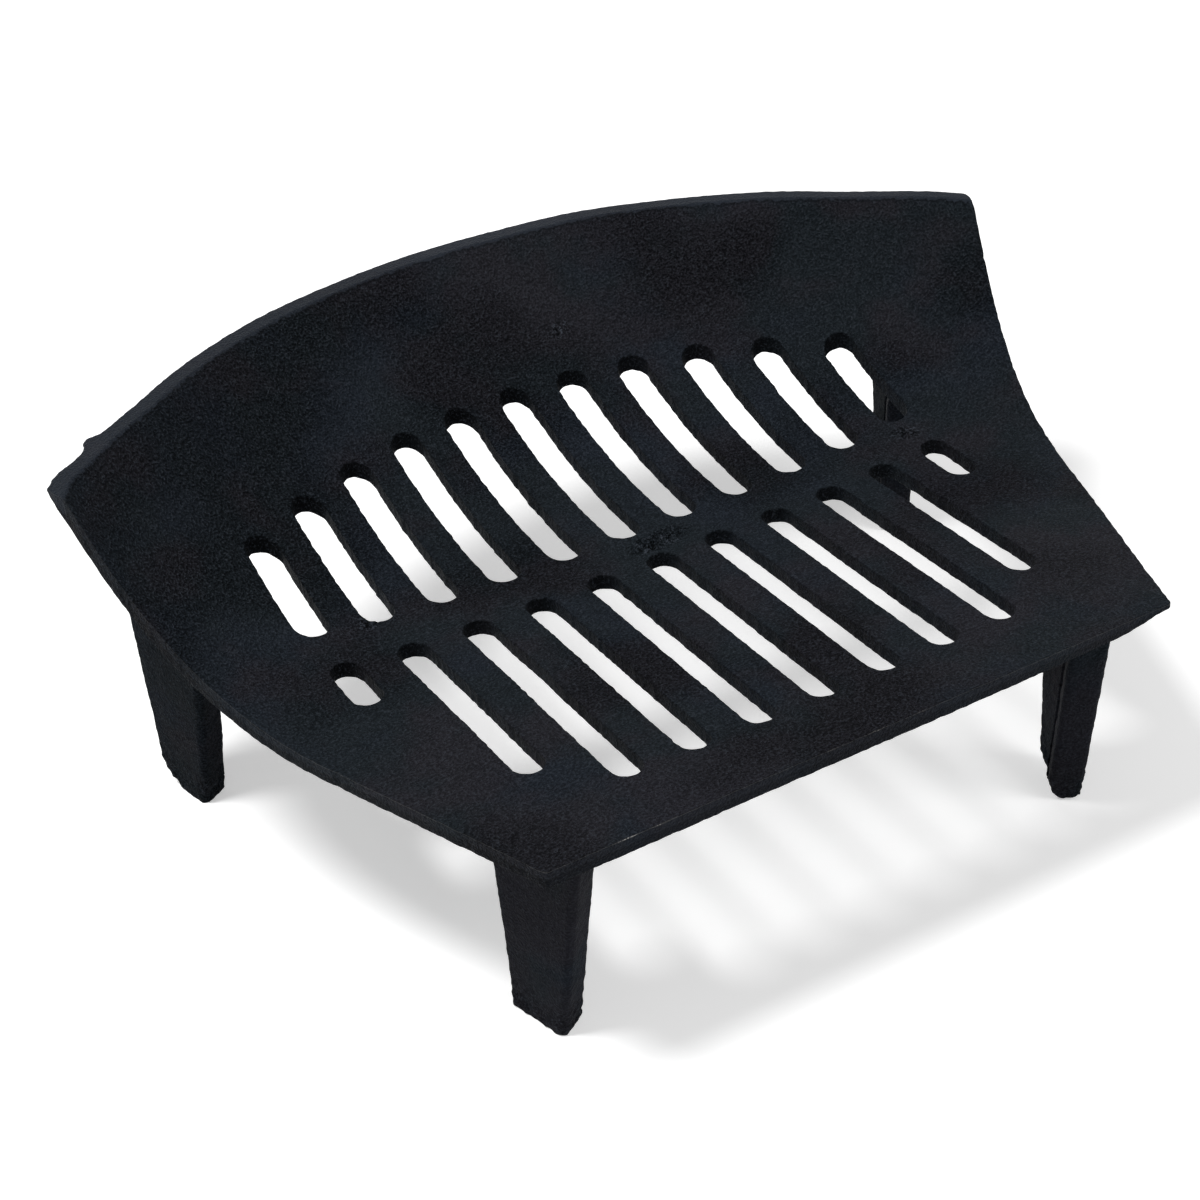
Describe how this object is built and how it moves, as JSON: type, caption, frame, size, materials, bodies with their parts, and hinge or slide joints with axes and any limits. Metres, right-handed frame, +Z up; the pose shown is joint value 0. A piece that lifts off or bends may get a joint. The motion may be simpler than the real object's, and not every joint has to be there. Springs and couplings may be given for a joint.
{
  "type": "log grate",
  "caption": "Cast-iron fire grate with a slotted bed, a dished and upturned bowed front lip and angle-section legs cast on beneath.",
  "frame": {"origin": "on the floor under the middle of the casting", "axes": "+X across the width, -Y towards the bowed front lip, +Z up"},
  "size_m": [0.3706, 0.2911, 0.1391],
  "materials": {
    "casting": "matt black paint on a sand-cast skin"
  },
  "bodies": {
    "root": {"bed": "casting", "lip": "casting", "leg_back_left": "casting", "leg_back_right": "casting", "leg_front_left": "casting", "leg_front_right": "casting"}
  },
  "joints": []
}
